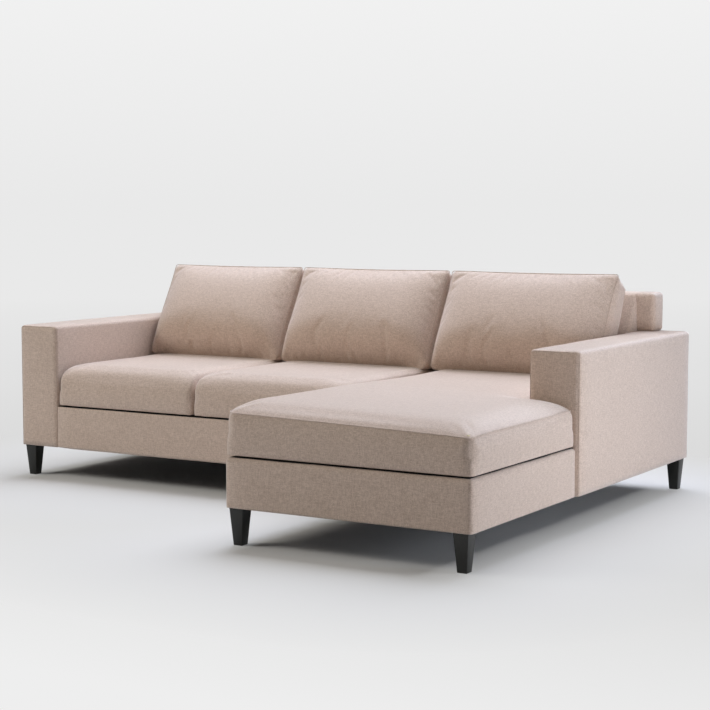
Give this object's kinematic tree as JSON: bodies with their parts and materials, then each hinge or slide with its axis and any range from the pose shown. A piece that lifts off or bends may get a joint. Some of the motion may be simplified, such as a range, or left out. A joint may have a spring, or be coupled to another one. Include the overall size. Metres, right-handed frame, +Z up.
{
  "type": "l-shaped sofa",
  "caption": "Two-section L-shaped sofa with a chaise on one side, box arms, loose box cushions and tapered square wooden legs.",
  "frame": {"origin": "on the floor, under the middle of the sofa's outline", "axes": "+X along the back towards the chaise, +Y from the chaise's front to the rear, +Z up"},
  "size_m": [2.5, 1.86, 0.8511],
  "materials": {
    "linen": "matte",
    "lining": "matte",
    "timber": "matte",
    "fibre_board": "matte",
    "ebonised_wood": "satin",
    "steel": "satin",
    "foam": "matte"
  },
  "bodies": {
    "loveseat": {"left_arm_cover": "linen", "left_arm_posts": "timber", "left_arm_rails": "timber", "left_arm_panels": "fibre_board", "loveseat_back_cover": "linen", "loveseat_back_posts": "timber", "loveseat_back_rails": "timber", "loveseat_back_panel": "fibre_board", "loveseat_long_rails": "timber", "loveseat_cross_rails": "timber", "loveseat_corner_blocks": "timber", "loveseat_springs": "steel", "loveseat_spring_clips": "steel", "loveseat_deck": "lining", "loveseat_dust_cover": "lining", "loveseat_base_cover": "linen", "left_front_leg": "ebonised_wood", "left_rear_leg": "ebonised_wood", "middle_front_leg": "ebonised_wood", "middle_rear_leg": "ebonised_wood", "loveseat_leg_plates": "steel", "loveseat_fasteners": "steel", "loveseat_connectors": "steel"},
    "chaise": {"right_arm_cover": "linen", "right_arm_posts": "timber", "right_arm_rails": "timber", "right_arm_panels": "fibre_board", "chaise_back_cover": "linen", "chaise_back_posts": "timber", "chaise_back_rails": "timber", "chaise_back_panel": "fibre_board", "chaise_long_rails": "timber", "chaise_cross_rails": "timber", "chaise_corner_blocks": "timber", "chaise_springs": "steel", "chaise_spring_clips": "steel", "chaise_deck": "lining", "chaise_dust_cover": "lining", "chaise_base_cover": "linen", "chaise_front_left_leg": "ebonised_wood", "chaise_front_right_leg": "ebonised_wood", "chaise_rear_left_leg": "ebonised_wood", "right_rear_leg": "ebonised_wood", "chaise_leg_plates": "steel", "chaise_fasteners": "steel", "chaise_connectors": "steel"},
    "seat_left": {"seat_left_cover": "linen", "seat_left_core": "foam"},
    "seat_centre": {"seat_centre_cover": "linen", "seat_centre_core": "foam"},
    "chaise_seat": {"chaise_seat_cover": "linen", "chaise_seat_core": "foam"},
    "back_left": {"back_left_cover": "linen", "back_left_core": "foam"},
    "back_centre": {"back_centre_cover": "linen", "back_centre_core": "foam"},
    "back_right": {"back_right_cover": "linen", "back_right_core": "foam"}
  },
  "joints": [
    {"name": "chaise_unhook", "type": "slide", "parent": "loveseat", "child": "chaise", "axis": [0, 0, 1], "range_m": [0, 0.05]},
    {"name": "seat_left_pull", "type": "slide", "parent": "loveseat", "child": "seat_left", "axis": [0, -1, 0], "range_m": [0, 0.3]},
    {"name": "seat_centre_pull", "type": "slide", "parent": "loveseat", "child": "seat_centre", "axis": [0, -1, 0], "range_m": [0, 0.3]},
    {"name": "chaise_seat_pull", "type": "slide", "parent": "chaise", "child": "chaise_seat", "axis": [0, -1, 0], "range_m": [0, 0.3]},
    {"name": "back_left_lift", "type": "slide", "parent": "loveseat", "child": "back_left", "axis": [0, 0, 1], "range_m": [0, 0.35]},
    {"name": "back_centre_lift", "type": "slide", "parent": "loveseat", "child": "back_centre", "axis": [0, 0, 1], "range_m": [0, 0.35]},
    {"name": "back_right_lift", "type": "slide", "parent": "chaise", "child": "back_right", "axis": [0, 0, 1], "range_m": [0, 0.35]}
  ]
}
